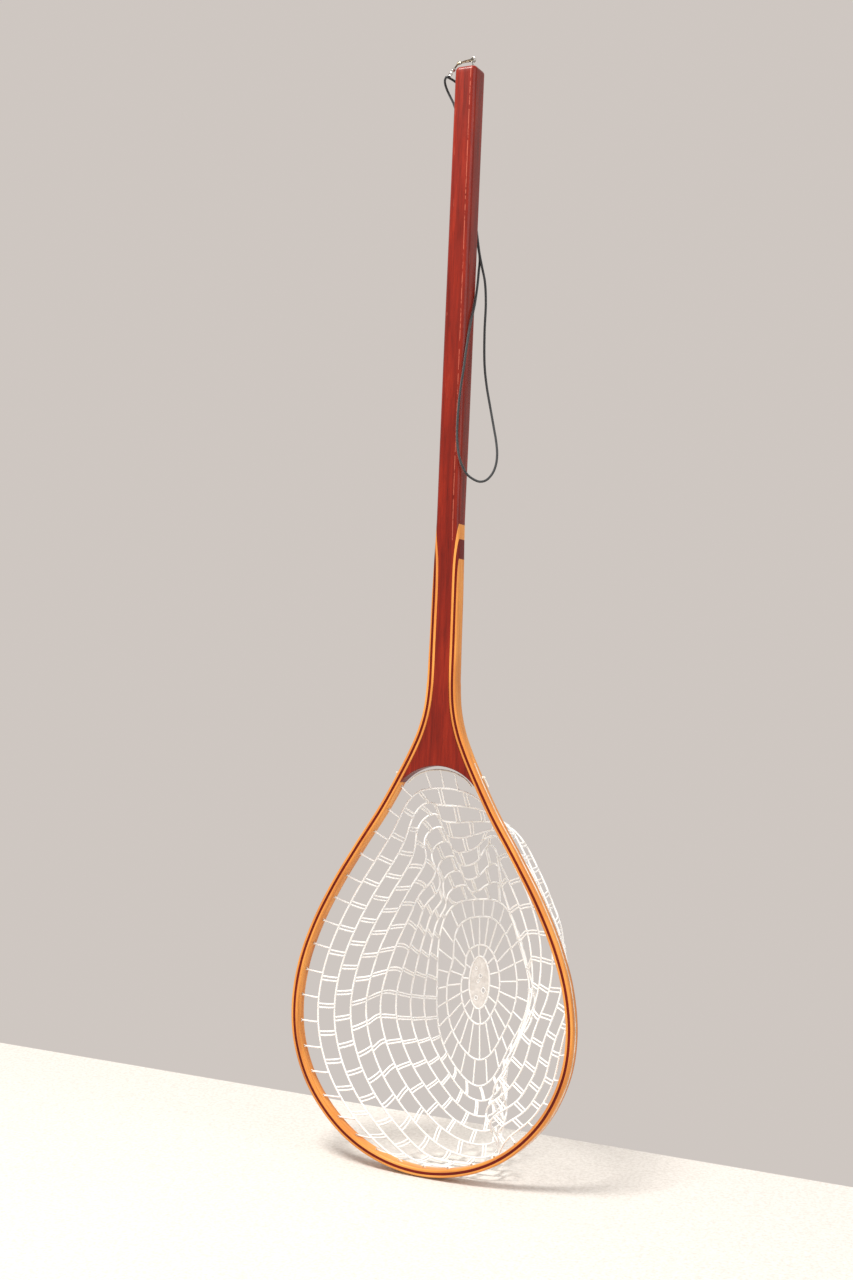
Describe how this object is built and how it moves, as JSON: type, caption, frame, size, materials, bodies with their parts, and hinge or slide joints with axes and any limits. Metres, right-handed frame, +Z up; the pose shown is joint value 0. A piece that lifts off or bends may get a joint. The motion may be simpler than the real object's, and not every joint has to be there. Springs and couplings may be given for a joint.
{
  "type": "landing net",
  "caption": "Long-handled wooden landing net with a bent laminated hoop, laced net bag, and a swivel snap with a cord lanyard.",
  "frame": {"origin": "middle of the screw eye's ring on the butt, from which the net hangs", "axes": "+Z up the handle from the hoop to the butt, +Y from the mouth of the hoop back into the bag, +X to the right seen from the front"},
  "size_m": [0.3786, 0.1496, 1.3692],
  "materials": {
    "red_hardwood": "red-brown hardwood, satin varnish",
    "light_ash": "pale straight-grained wood, satin varnish",
    "dark_veneer": "dark red wood, satin varnish",
    "lacing": "off-white round cord",
    "net_rubber": "translucent milky rubber netting",
    "nickel": "bright nickel plate",
    "black_cord": "black braided elastic cord"
  },
  "bodies": {
    "root": {"handle_core": "red_hardwood", "hoop_outer_lamination": "light_ash", "hoop_middle_lamination": "dark_veneer", "hoop_inner_lamination": "light_ash", "lacing_cord": "lacing", "lacing_knot_left": "lacing", "lacing_knot_right": "lacing", "throat_cord": "lacing", "net_bag": "net_rubber", "screw_eye": "nickel", "lanyard_cord": "black_cord"},
    "snap": {"snap_hook": "nickel", "swivel_barrel": "nickel"},
    "gate": {"snap_gate": "nickel"},
    "swivel_end": {"swivel_eye": "nickel", "lanyard_knot": "black_cord"}
  },
  "joints": [
    {"name": "snap_swing", "type": "hinge", "parent": "root", "child": "snap", "pos_m": [0, 0, 0], "axis": [0, 1, 0], "range_deg": [0, 200], "deforming": ["lanyard_cord"]},
    {"name": "gate_hinge", "type": "hinge", "parent": "snap", "child": "gate", "pos_m": [-0.01516, -0.00285, -0.00347], "axis": [-0.0698, -0.5985, 0.798], "range_deg": [0, 25], "stiffness_Nm_per_rad": 0.005},
    {"name": "swivel_spin", "type": "hinge", "parent": "snap", "child": "swivel_end", "pos_m": [-0.02861, -0.00169, -0.01352], "axis": [-0.6149, -0.0492, -0.7871], "continuous": true}
  ]
}
